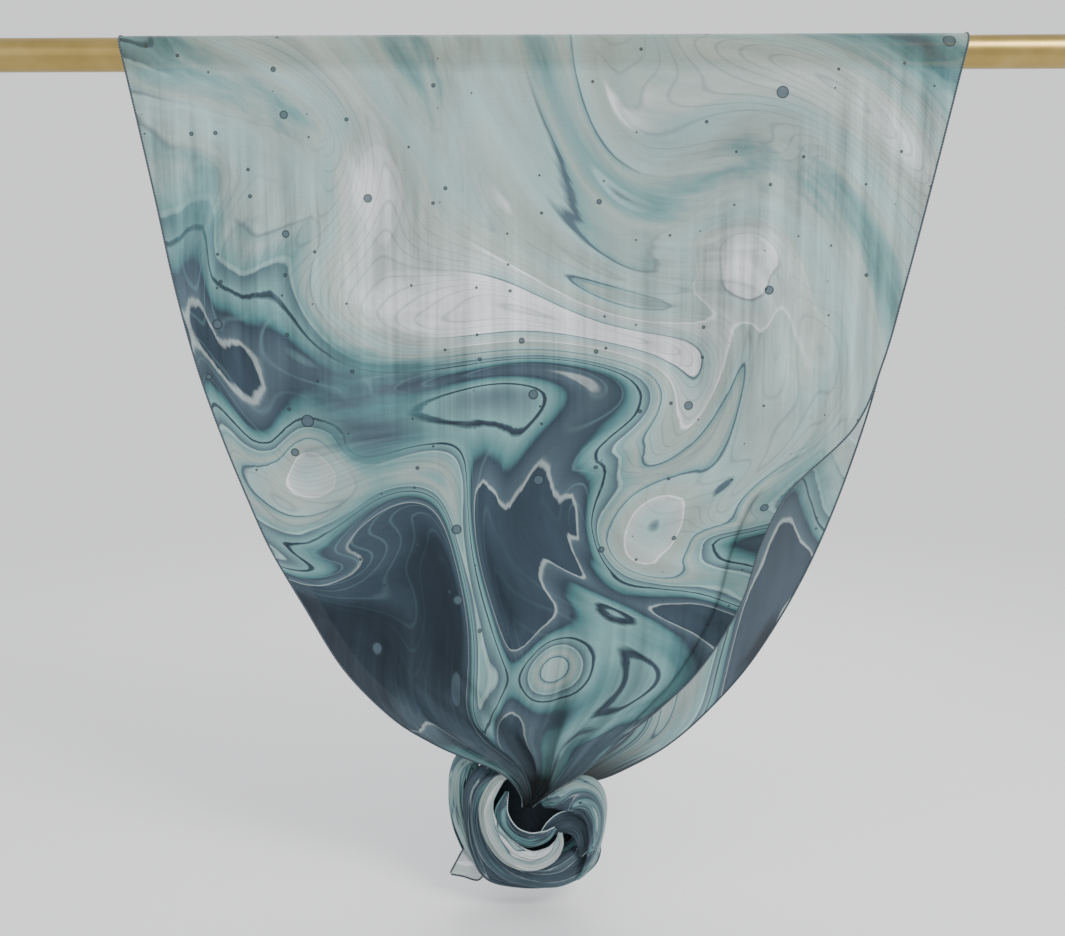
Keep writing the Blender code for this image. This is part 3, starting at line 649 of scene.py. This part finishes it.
NAVY = (0.018, 0.029, 0.042)
SLATE = (0.038, 0.060, 0.082)
DUSK = (0.080, 0.122, 0.150)
TEAL = (0.075, 0.195, 0.205)
AQUA = (0.185, 0.340, 0.345)
PALE_AQUA = (0.325, 0.480, 0.470)
SAGE = (0.350, 0.430, 0.395)
STONE_GREY = (0.500, 0.540, 0.530)
WHITE = (0.740, 0.765, 0.775)
INK = (0.030, 0.042, 0.052)
PALE_LINE = (0.330, 0.390, 0.395)
GATHERED_GREY = (0.095, 0.135, 0.162)
PRINT_STOPS = [
    (0.00, NAVY), (0.12, NAVY), (0.19, SLATE), (0.262, SLATE), (0.266, PALE_LINE), (0.270, PALE_LINE),
    (0.274, DUSK), (0.33, SLATE), (0.352, TEAL), (0.40, AQUA), (0.404, NAVY), (0.414, SLATE), (0.418, AQUA),
    (0.47, DUSK), (0.474, PALE_AQUA), (0.484, PALE_AQUA), (0.488, AQUA), (0.55, SAGE), (0.574, AQUA),
    (0.578, DUSK), (0.584, DUSK), (0.588, PALE_AQUA), (0.66, SAGE), (0.72, SAGE), (0.726, WHITE),
    (0.732, WHITE), (0.738, STONE_GREY), (0.86, PALE_AQUA), (0.87, DUSK), (0.875, DUSK), (0.88, WHITE),
    (1.00, WHITE),
]
WASH_STOPS = [
    (0.00, NAVY), (0.20, SLATE), (0.34, DUSK), (0.43, TEAL), (0.51, AQUA), (0.58, SAGE), (0.67, PALE_AQUA),
    (0.75, SAGE), (0.86, STONE_GREY), (1.00, WHITE),
]
SILK_STOPS = [(0.0, (0, 0, 0)), (0.12, (1, 1, 1)), (0.24, (0, 0, 0))]  # one line's rise and fall
SILK_LINES = 46.0  # fine lines to each step of 1 in the drift's noise
SILK_STRENGTH = 0.34
HARD_WASH, SOFT_WASH = 0.05, 0.35  # how far the washes' noise moves the tone
GATHERED_MUTE = 0.38  # how far the gathers mute the colours
SPREAD_SHADE = (0.90, 0.55)  # the washes' noise lightens spread cloth by this much, from this
KNOT_SHADE = (0.50, 0.75)  # and the knot's
DRIP_SCALE = (55, 2.2, 1)
DRIP_STRENGTH = 1.5
SLUB_SCALES = [(1500, 38, 1), (38, 1500, 1)]  # noise cells to the metre, for threads of each direction
SLUB_TINT = 0.12
CRUMPLE_SCALE = (70, 9, 1)
LIGHT_THROUGH = 0.22  # the share of light that the cloth passes on, scattered

# Drops of ink: cells to the metre, the share of cells that hold none, and the largest radius in metres.
Drops = namedtuple("Drops", "cells bare biggest")
DROPS = [Drops(15.0, 0.45, 0.0062), Drops(37.0, 0.62, 0.0022)]
DROP_EDGE = 0.0006
DROP_RIM = (0.0010, 0.0020)  # a drop's paler middle comes in this far from its edge
DROP_STRENGTH = 0.88

HEM_COLOUR = (0.034, 0.050, 0.062)
PALE_HEM_COLOUR = (0.36, 0.44, 0.45)
HEM_SHADOW = (0.02, 0.03, 0.04)
BRASS = (0.33, 0.235, 0.075)
PALE_BRASS = (0.40, 0.29, 0.10)
FLOOR_COLOUR = (0.82, 0.82, 0.83)
FLOOR_GRAIN = (0.5, 0.5, 0.5)


def add_drops(shader, colour, uv, share, drops):
    """Round drops of ink, the larger ones with a paler middle."""
    inputs = {"Vector": uv, "Scale": drops.cells}
    cells = shader.add("TexVoronoi", inputs, voronoi_dimensions="2D", feature="F1")
    chance = shader.add("SeparateColor", {0: cells.outputs["Color"]}).outputs[0]
    growth = drops.biggest / (1 - drops.bare) * drops.cells
    size = shader.times(shader.math("SUBTRACT", chance, drops.bare), growth)
    inside = shader.math("SUBTRACT", size, cells.outputs["Distance"])
    drop = shader.span(inside, 0.0, DROP_EDGE * drops.cells)
    middle = shader.span(inside, DROP_RIM[0] * drops.cells, DROP_RIM[1] * drops.cells)
    ink = shader.mix(middle, (*INK, 1), (*DUSK, 1))
    strength = shader.times(share, DROP_STRENGTH)
    return shader.mix(shader.times(drop, strength), colour, ink)


def add_silk_lines(shader, colour, flow, band, tone, calm):
    """Fine lines along the drift, here and there, which fade in the gathers and in the dark."""
    part = shader.math("FRACT", shader.times(band, SILK_LINES))
    silk = shader.ramp(part, SILK_STOPS)
    where = shader.span(shader.noise(flow, 0.9, 1.0), 0.48, 0.60)
    where = shader.times(where, shader.span(tone, 0.04, 0.36))
    strength = shader.times(calm, SILK_STRENGTH)
    share = shader.times(shader.times(silk, where), strength)
    line = shader.mix(shader.span(tone, 0.3, 0.5), (*AQUA, 1), (*DUSK, 1))
    return shader.mix(share, colour, line)


def print_colour(shader, uv, spread):
    """A poured print: drifting colours edged with thin lines. Spread cloth has washes and drops too."""
    flow = shader.add("UVMap", uv_map="flow").outputs[0]
    gather = shader.value("gather")
    calm = shader.math("SUBTRACT", 1.0, gather, clamp=True)
    band = shader.noise(flow, 1.0, 1.5)
    wash = shader.noise(flow, 2.7, 4.0, 0.62)
    drift = shader.math("SUBTRACT", band, 0.5)
    washing = shader.math("SUBTRACT", wash, 0.5)
    tone = shader.math("MULTIPLY_ADD", drift, shader.value("contrast"), shader.value("tone"))
    tone = shader.math("MULTIPLY_ADD", washing, HARD_WASH, tone, clamp=True)
    colour = shader.ramp(tone, PRINT_STOPS)
    if spread:
        soft_tone = shader.math("MULTIPLY_ADD", washing, SOFT_WASH, tone)
        colour = shader.mix(shader.value("washed"), colour, shader.ramp(soft_tone, WASH_STOPS))
    colour = add_silk_lines(shader, colour, flow, band, tone, calm)
    colour = shader.mix(shader.times(gather, GATHERED_MUTE), colour, (*GATHERED_GREY, 1))
    share, least = SPREAD_SHADE if spread else KNOT_SHADE
    light = shader.math("MULTIPLY_ADD", wash, share, least)
    if spread:
        streak = shader.noise(shader.place(uv, DRIP_SCALE), 1.0, 3.0, 0.7)
        streaky = shader.span(shader.noise(uv, 3.0, 0.0), 0.42, 0.62)
        drip = shader.times(shader.math("SUBTRACT", streak, 0.5), streaky)
        light = shader.math("MULTIPLY_ADD", drip, DRIP_STRENGTH, light)
    # Painted shade: a value on the mesh darkens the colour, in creases and valleys, behind other layers and
    # by the knot.
    light = shader.times(light, shader.math("SUBTRACT", 1.0, shader.value("dim")))
    colour = shader.shade(colour, light)
    if spread:
        for drops in DROPS:
            colour = add_drops(shader, colour, uv, calm, drops)
    return colour


def cloth_material(name, spread):
    """Fine modal cloth with the print, a plain weave, slubs and gathers, and some light through it."""
    shader = Shader(name)
    uv = shader.add("UVMap", uv_map="cloth").outputs[0]
    colour = print_colour(shader, uv, spread)
    slub_up, slub_side = (shader.noise(shader.place(uv, scale), 1.0, 1.0) for scale in SLUB_SCALES)
    slub = shader.math("ADD", slub_up, slub_side)
    colour = shader.shade(colour, shader.math("MULTIPLY_ADD", slub, SLUB_TINT, 1 - SLUB_TINT))

    crumple = shader.noise(shader.place(uv, CRUMPLE_SCALE), 1.0, 3.0, 0.55)
    height = shader.times(crumple, shader.value("gather"))
    bump = shader.add("Bump", {"Strength": 0.55, "Distance": 0.0022, "Height": height}).outputs[0]

    inputs = {
        "Base Color": colour,
        "Roughness": 0.80,
        "Specular IOR Level": 0.22,
        "Sheen Weight": 0.10,
        "Sheen Roughness": 0.40,
        "Sheen Tint": (0.85, 0.93, 0.95, 1.0),
        "Normal": bump,
    }
    face = shader.add("BsdfPrincipled", inputs).outputs[0]
    through = shader.add("BsdfTranslucent", {"Color": colour, "Normal": bump}).outputs[0]
    face = shader.add("MixShader", {0: LIGHT_THROUGH, 1: face, 2: through}).outputs[0]
    if spread:
        shader.material.use_transparent_shadow = False
        clear = shader.add("BsdfTransparent").outputs[0]
        face = shader.add("MixShader", {0: shader.value("sheer"), 1: face, 2: clear}).outputs[0]
    return shader.finish(face)


def hem_material(name, colour):
    """A rolled hem with its line of stitches, a little darker between them."""
    shader = Shader(name)
    uv = shader.add("UVMap", uv_map="cloth").outputs[0]
    along = shader.add("SeparateXYZ", {0: uv}).outputs[1]
    wave = shader.math("SINE", shader.times(along, TAU / (STITCH_PITCH * MM)))
    stitch = shader.span(wave, -0.3, 0.7)
    fibre = shader.noise(shader.place(uv, (2200, 900, 1)), 1.0, 3.0)
    pale = tuple(min(1.0, 1.9 * c + 0.02) for c in colour)
    tinted = shader.mix(shader.times(stitch, 0.6), (*colour, 1), (*pale, 1))
    tinted = shader.mix(shader.times(fibre, 0.35), tinted, (*HEM_SHADOW, 1))
    height = shader.math("ADD", stitch, fibre)
    bump = shader.add("Bump", {"Strength": 0.5, "Distance": 0.0003, "Height": height}).outputs[0]
    inputs = {"Base Color": tinted, "Roughness": 0.8, "Sheen Weight": 0.2, "Normal": bump}
    return shader.finish(shader.add("BsdfPrincipled", inputs).outputs[0])


def brass_material(name):
    """Satin brass: drawn along its length, with faint handling marks."""
    shader = Shader(name)
    place = shader.add("TexCoord").outputs["Object"]
    drawn = shader.noise(shader.place(place, (3, 900, 900)), 1.0, 3.0, dimensions="3D")
    marks = shader.noise(place, 26.0, 4.0, 0.6, "3D")
    colour = shader.mix(shader.span(marks, 0.35, 0.75), (*BRASS, 1), (*PALE_BRASS, 1))
    rough = shader.math("MULTIPLY_ADD", marks, 0.16, 0.26)
    bump = shader.add("Bump", {"Strength": 0.12, "Distance": 0.0002, "Height": drawn}).outputs[0]
    inputs = {"Base Color": colour, "Metallic": 1.0, "Roughness": rough, "Normal": bump}
    return shader.finish(shader.add("BsdfPrincipled", inputs).outputs[0])


# ---- The scarf

sheer_cloth = cloth_material("printed_modal", True)
knot_cloth = cloth_material("printed_modal_gathered", False)
hem_cloth = hem_material("rolled_hem", HEM_COLOUR)
pale_hem = hem_material("rolled_hem_pale", PALE_HEM_COLOUR)

# The hems that show in the knot: the turn that each lies on, its column there and its material.
KNOT_HEMS = [
    ("hem_crescent", "turn_crescent", 10, hem_cloth),
    ("hem_lip", "turn_lip", -20, pale_hem),
    ("hem_right_fold", "turn_right_fold", 20, pale_hem),
]


def rows_over_rod(across):
    """The rows of points where the cloth turns over the bar, from the front half to the back one."""
    rows = []
    for angle in np.linspace(0, math.pi, ROD_TURN_STEPS + 1)[1:-1]:
        width = Level(*FRONT_LEVELS[0]).right_x + ROD_BULGE * math.sin(angle)
        y, z = -CLOTH_ON_ROD * math.cos(angle), CLOTH_ON_ROD * math.sin(angle)
        rows.append(np.stack([across * width, np.full_like(across, y), np.full_like(across, z)], axis=1))
    return np.array(rows)


def edge_shades(share, down, along):
    """Where the strip and its hem lie under the front, and where painted shade darkens the back's edge."""
    by_strip = between(STRIP_DOWN, down) * (along < 0)
    strip = smooth_step(TURNED_FROM - STRIP_BLUR, TURNED_FROM, share) * by_strip
    strip_hem = np.exp(-(((share - TURNED_FROM) / STRIP_HEM_WIDTH) ** 2)) * by_strip
    back_edge_shade = smooth_step(*BACK_EDGE_ACROSS, share) * between(BACK_EDGE_DOWN, down) * (along > 0)
    return strip, strip_hem, back_edge_shade


def make_hanging_cloth():
    """One sheet from the front neck up over the bar and down to the back neck."""
    front, front_gather, front_crease_shade = half_sheet(FRONT)
    back, back_gather, back_crease_shade = half_sheet(BACK)
    across = np.linspace(-1, 1, HALF_COLUMNS + 1)
    turned = rows_over_rod(across)
    level = np.zeros(turned.shape[:2])
    grid = np.concatenate([front[::-1], turned, back[1:]])
    gather = np.concatenate([front_gather[::-1], level, back_gather[1:]])
    valleys = np.concatenate([front_crease_shade[::-1], level, back_crease_shade[1:]])

    lengths = path_lengths(grid) * MM
    along = lengths - lengths[len(front) + len(turned) // 2]
    share = across[None, :] / 2 + 0.5
    down = -grid[:, :, 2]
    narrowed = smooth_step(*NECK_PRINT_WIDTHS, np.ptp(grid[:, :, 0], axis=1))[:, None]
    x = grid[:, :, 0] * MM
    x = x + ((share - 0.5) * NECK_PRINT_WIDTH - x) * narrowed
    drawn = along - (along - np.sign(along) * NECK_PRINT_FROM) * NECK_PRINT_PULL * narrowed

    strip, strip_hem, back_edge_shade = edge_shades(share, down, along)
    by_rod = smooth_step(SHEER_ROD_REACH * ROD_RADIUS, ROD_RADIUS, down)
    tone = print_tone(x, along)
    patchy = 0.14 * np.sin(17 * x + 1.0) + 0.10 * np.sin(31 * x - 9 * along)
    contrast = ROD_CONTRAST + (PRINT_CONTRAST - ROD_CONTRAST) * smooth_step(*CONTRAST_ALONG, np.abs(along))
    # Painted shade: the colour darkens in deep creases, over the strip and its hem, and by the back's edge.
    dim = valleys + STRIP_PAINTED_SHADE * strip + STRIP_HEM_PAINTED_SHADE * strip_hem + BACK_EDGE_PAINTED_SHADE * back_edge_shade
    # Painted shade at the neck's end, where the cloth runs into the knot.
    dim = dim + NECK_PAINTED_SHADE * smooth_step(*NECK_PAINTED_SHADE_DOWN, down)
    values = {
        "washed": np.clip(smooth_step(*WASHED_ALONG, np.abs(along) + patchy), 0, WASHED_MOST),
        "tone": tone,
        "contrast": contrast * (1 - NECK_CONTRAST_LOSS * narrowed),
        "gather": gather,
        "sheer": SHEER_PALE * np.clip(tone, 0.2, 1) + SHEER_BY_ROD * by_rod + SHEER_STRIP * strip,
        "dim": np.clip(dim, 0, PAINTED_SHADE_MOST),
    }
    uv = np.stack([x, drawn], axis=2)
    sheet = add_sheet("hanging_cloth", grid, uv, sheer_cloth, drifted(x, drawn), **values)
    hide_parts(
        "over_rod", "front_half", "back_half", "neck_front_outer_left", "neck_front_left",
        "neck_front_tongue", "neck_front_right", "neck_back_left", "neck_back_middle", "neck_back_right",
    )
    return sheet, grid


def make_turned_edge():
    """The strip turned under along the front's lower right edge, behind the front."""
    places = np.linspace(TURNED_FIRST, TURNED_LAST, TURNED_STEPS + 1)
    across = np.linspace(TURNED_FROM - TURNED_OVERLAP, 1.0, TURNED_COLUMNS + 1)[None, :]
    front = half_surface(FRONT, places, across)[0]
    grid = front + facing(front, (0, 1, 0)) * TURNED_INSET
    x, z = front[:, :, 0] * MM, front[:, :, 2] * MM
    # The strip is darkened by painted shade, as it lies behind the front.
    values = {"tone": 0.42, "contrast": 1.0, "gather": 0.2, "sheer": 0.0, "dim": 0.3}
    sheet = add_sheet("turned_edge", grid, np.stack([x, z], axis=2), sheer_cloth, drifted(x, z), **values)
    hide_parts("front_edge_turned_under")
    return sheet, grid


def make_turn(turn):
    """One wound stretch of the knot, with the print's threads running along it."""
    grid, dim = turn_sheet(turn)
    widths = np.linalg.norm(np.diff(grid, axis=1), axis=2)
    reach = np.concatenate([np.zeros((len(grid), 1)), np.cumsum(widths, axis=1)], axis=1) * MM
    middle = path_lengths(grid)[:, TURN_COLUMNS // 2][:, None] * MM
    along = turn.along + middle + 0 * reach
    uv = np.stack([turn.across + reach * TURN_GATHER, along], axis=2)
    flow = np.stack([(turn.across + reach) * TURN_PRINT[0], along * TURN_PRINT[1]], axis=2)
    tone = np.interp(np.linspace(0, 1, TURN_COLUMNS + 1), SHADE_PLACES, turn.shade)
    values = {"tone": tone[None, :], "contrast": turn.contrast, "gather": TURN_GATHERED, "dim": dim}
    made = add_sheet(turn.name + "_cloth", grid, uv, knot_cloth, flow, **values)
    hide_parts(turn.name)
    return made, grid


def make_core():
    """The gathered layers seen deep between the turns, with folds that run together at the eye."""
    rings = np.linspace(0, math.pi, CORE_RINGS + 1)[:, None]
    around = (np.arange(CORE_SEGMENTS) * TAU / CORE_SEGMENTS)[None, :]
    x, z, y = np.sin(rings) * np.cos(around), np.sin(rings) * np.sin(around), -np.cos(rings)
    eye_x, eye_z = CORE_EYE[0] / CORE_RADII[0], CORE_EYE[1] / CORE_RADII[2]
    pull = (1 - np.sin(rings)) * (y < 0)
    x, z = x + eye_x * pull, z + eye_z * pull
    swirl = np.sin(11 * around + 5 * rings) + 0.6 * np.sin(19 * around - 7 * rings)
    shrink = CORE_SHRINK + CORE_FOLD * swirl * np.sin(rings)
    radii, offset = np.array(CORE_RADII), np.array(CORE_OFFSET)
    grid = np.stack([x * shrink, (y + 0 * around) * shrink, z * shrink], axis=2) * radii + offset
    grid = grid + np.array(KNOT_CENTRE)
    uv = np.stack([0.3 + around / TAU * 0.3 + 0 * rings, 1.6 + rings * 0.03 + 0 * around], axis=2)
    # The heart takes the darkest tone and painted shade: it stands for the shade deep between the turns.
    values = {"tone": 0.08, "contrast": 0.4, "gather": 1.0, "dim": 0.5}
    made = add_sheet("knot_heart", grid, uv, knot_cloth, uv * 20, closed=True, **values)
    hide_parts("knot_core")
    return made


def make_corner():
    """The scarf's free corner, one layer with a rolled hem on its two edges."""
    rows = smooth_rows(CORNER_ROWS, np.linspace(0, len(CORNER_ROWS) - 1, CORNER_STEPS * 3 + 1))
    corner = Corner(*(column[:, None] for column in rows.T))
    share = np.linspace(0, 1, CORNER_COLUMNS + 1)[None, :]
    x = corner.upper_x + (corner.lower_x - corner.upper_x) * share
    z = corner.upper_z + (corner.lower_z - corner.upper_z) * share
    sway = 0.35 * np.sin(2.4 * share * math.pi + 0.08 * x) - 0.55
    grid = np.stack([x, -corner.depth - sway + 0 * x, z], axis=2) + np.array(KNOT_CENTRE)
    uv = np.stack([0.1 + (x + 80) * MM, 0.05 + (z + 70) * MM], axis=2)
    values = {"tone": 0.68, "contrast": 0.5, "gather": 0.1, "sheer": 0.2}
    made = add_sheet("corner_cloth", grid, uv, sheer_cloth, uv * 8, **values)
    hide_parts("corner_tail")
    return made, grid


def side_hems(names, grid):
    """Rolled hems along a sheet's two sides."""
    return [add_hem(name, grid[:, side], HEM_RADIUS, hem_cloth) for name, side in zip(names, (0, -1))]


def make_rod():
    """The rail's bar as a turned profile, with its edges rounded over."""
    half = ROD_LENGTH / 2
    edge_x, edge_radius = half - ROD_EDGE, ROD_RADIUS - ROD_EDGE
    bend = np.linspace(0, math.pi / 2, ROD_EDGE_STEPS + 1)
    end = [(edge_x + ROD_EDGE * math.sin(a), edge_radius + ROD_EDGE * math.cos(a)) for a in bend]
    straight = [(x, ROD_RADIUS) for x in np.linspace(half - 2 * ROD_EDGE, 2 * ROD_EDGE - half, ROD_STEPS)]
    profile = [(half, 0.0), *end[::-1], *straight, *((-x, r) for x, r in end), (-half, 0.0)]
    around = np.arange(ROD_SIDES) * TAU / ROD_SIDES
    grid = np.array([[(x, r * math.cos(a), r * math.sin(a)) for a in around] for x, r in profile])
    uv = grid[:, :, :2] * MM
    made = add_sheet("rod_bar", grid, uv, brass_material("satin_brass"), closed=True)
    made.data.set_sharp_from_angle(angle=math.radians(40))
    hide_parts("rod")
    return made


hanging, hanging_grid = make_hanging_cloth()
turned_edge, turned_grid = make_turned_edge()
turns = {turn.name: make_turn(turn) for turn in KNOT_TURNS}
core = make_core()
corner, corner_grid = make_corner()

edge_hems = side_hems(("hem_left", "hem_right"), hanging_grid)
turned_hem = add_hem("hem_turned_under", turned_grid[:, 0], HEM_RADIUS, hem_cloth)
corner_hems = side_hems(("hem_corner_upper", "hem_corner_lower"), corner_grid)
knot_hems = {}
for name, turn_name, column, material in KNOT_HEMS:
    turn_grid = turns[turn_name][1]
    knot_hems[turn_name] = add_hem(name, turn_grid[:, column], FINE_HEM_RADIUS, material)
rod = make_rod()

hems = [*edge_hems, turned_hem, *corner_hems, *knot_hems.values()]
for piece in [hanging, turned_edge, core, corner, rod, *hems, *(made for made, grid in turns.values())]:
    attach(piece, "root")


# ---- Stage, camera and light

def add_stage():
    """A round pale floor that fades out into the pale room."""
    shader = Shader("pale_floor")
    place = shader.add("TexCoord").outputs["Object"]
    grain = shader.noise(place, 3.0, 2.0)
    tinted = shader.mix(shader.times(grain, 0.05), (*FLOOR_COLOUR, 1), (*FLOOR_GRAIN, 1))
    face = shader.add("BsdfPrincipled", {"Base Color": tinted, "Roughness": 0.6}).outputs[0]
    clear = shader.add("BsdfTransparent").outputs[0]
    distance = shader.add("VectorMath", {0: place}, operation="LENGTH").outputs["Value"]
    fade = shader.span(distance, *FLOOR_FADE)
    floor_material = shader.finish(shader.add("MixShader", {0: fade, 1: face, 2: clear}).outputs[0])
    around = np.arange(FLOOR_SEGMENTS) * TAU / FLOOR_SEGMENTS
    rings = np.linspace(0, FLOOR_FADE[1], FLOOR_RINGS)
    grid = np.array([[(r * math.cos(a), r * math.sin(a), 0) for a in around] for r in rings])
    made = add_sheet("floor", grid / MM, grid[:, :, :2], floor_material, closed=True)
    made.location = (0, 0, FLOOR_Z)


def add_area_light(light):
    """An area light at its place, turned towards its target."""
    lamp = bpy.data.lights.new(light.name, "AREA")
    lamp.shape = "RECTANGLE"
    lamp.size, lamp.size_y = light.size
    lamp.energy = light.power
    lamp.color = light.colour
    made = bpy.data.objects.new(light.name, lamp)
    made.location = light.place
    made.rotation_euler = (Vector(light.target) - Vector(light.place)).to_track_quat("-Z", "Y").to_euler()
    bpy.context.scene.collection.objects.link(made)


add_stage()
for light in LIGHTS:
    add_area_light(light)

world = bpy.data.worlds.new("room")
bpy.context.scene.world = world
world.use_nodes = True
background = world.node_tree.nodes["Background"]
background.inputs["Color"].default_value = ROOM_COLOUR
background.inputs["Strength"].default_value = ROOM_STRENGTH

camera = bpy.data.objects.new("camera", bpy.data.cameras.new("camera"))
camera.data.lens = CAMERA_LENS
camera.location = CAMERA_PLACE
camera.rotation_euler = (math.radians(90 - CAMERA_TILT), math.radians(CAMERA_ROLL), 0)
bpy.context.scene.collection.objects.link(camera)
bpy.context.scene.camera = camera
